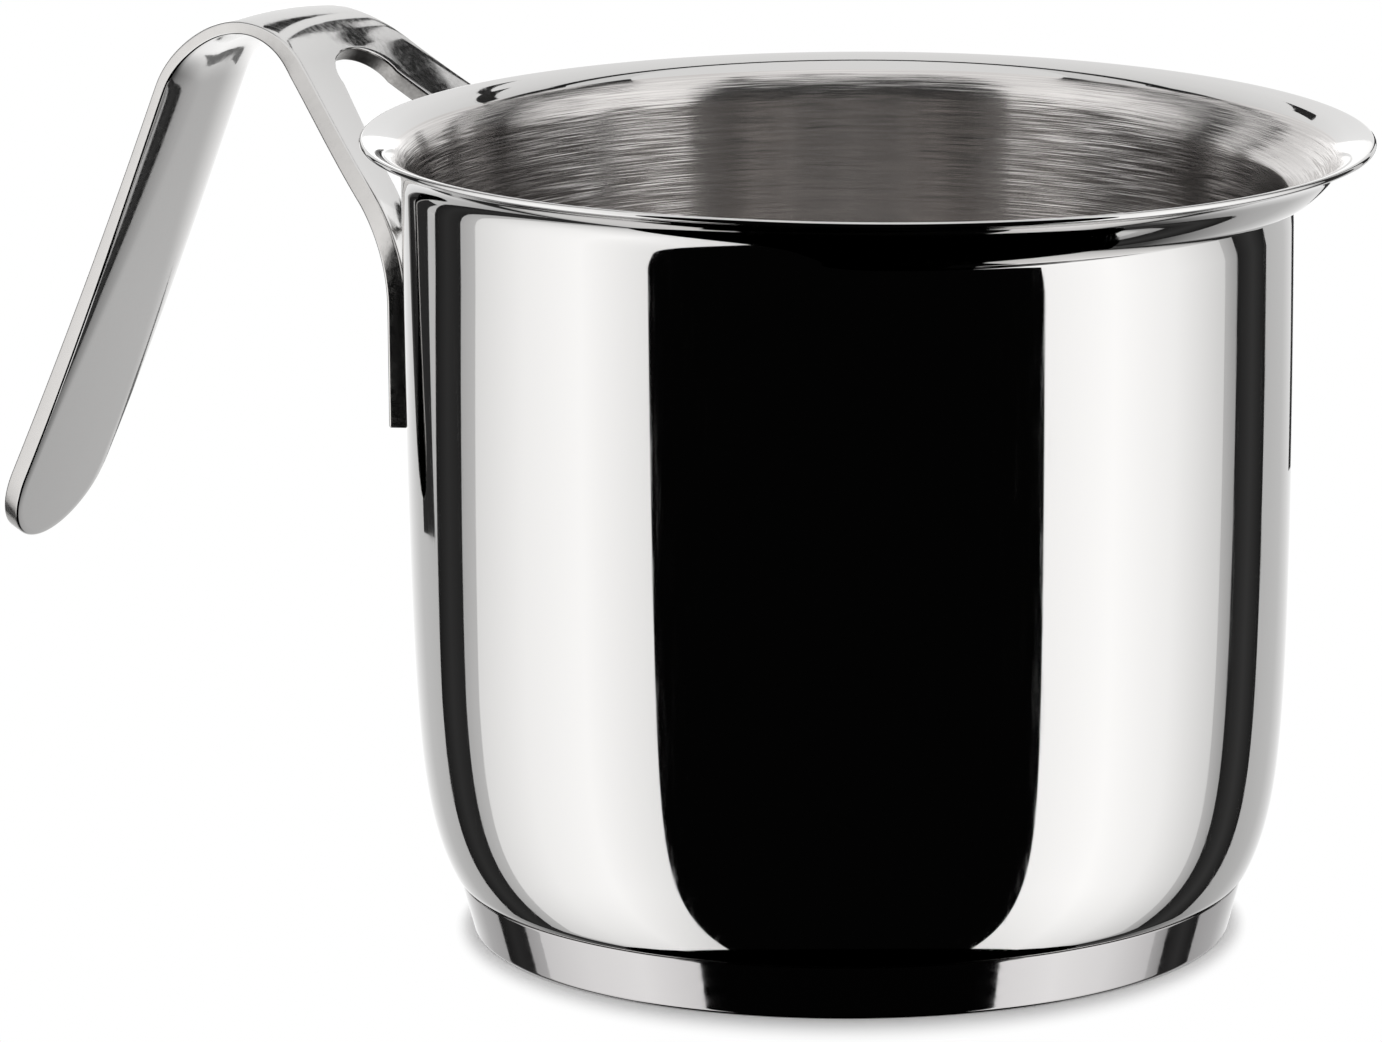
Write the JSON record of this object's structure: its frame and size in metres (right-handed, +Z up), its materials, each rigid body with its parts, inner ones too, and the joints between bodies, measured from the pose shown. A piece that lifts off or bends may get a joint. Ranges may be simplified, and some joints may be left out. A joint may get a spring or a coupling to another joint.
{
  "type": "milk boiler",
  "caption": "Tall round stainless steel milk pot with a flared rim, a wide pouring lip, a thick capsule base and a forked strip handle bent over at the top.",
  "frame": {"origin": "centre of the base's underside, where the pot stands", "axes": "+Z up along the pot's axis; +X towards the pouring lip, with the handle at -X; the XZ plane is the plane of symmetry"},
  "size_m": [0.2494, 0.1546, 0.1395],
  "materials": {
    "polished_stainless_steel": "mirror polished outside, brushed round the inside",
    "polished_strip_steel": "mirror polished, with softly rounded edges",
    "polished_ferritic_steel": "polished side, fine turned underside",
    "rolled_aluminium": "mill finish, hidden inside the base"
  },
  "bodies": {
    "root": {"pot_body": "polished_stainless_steel", "handle": "polished_strip_steel", "base_cap": "polished_ferritic_steel", "heat_spreader": "rolled_aluminium"}
  },
  "joints": []
}
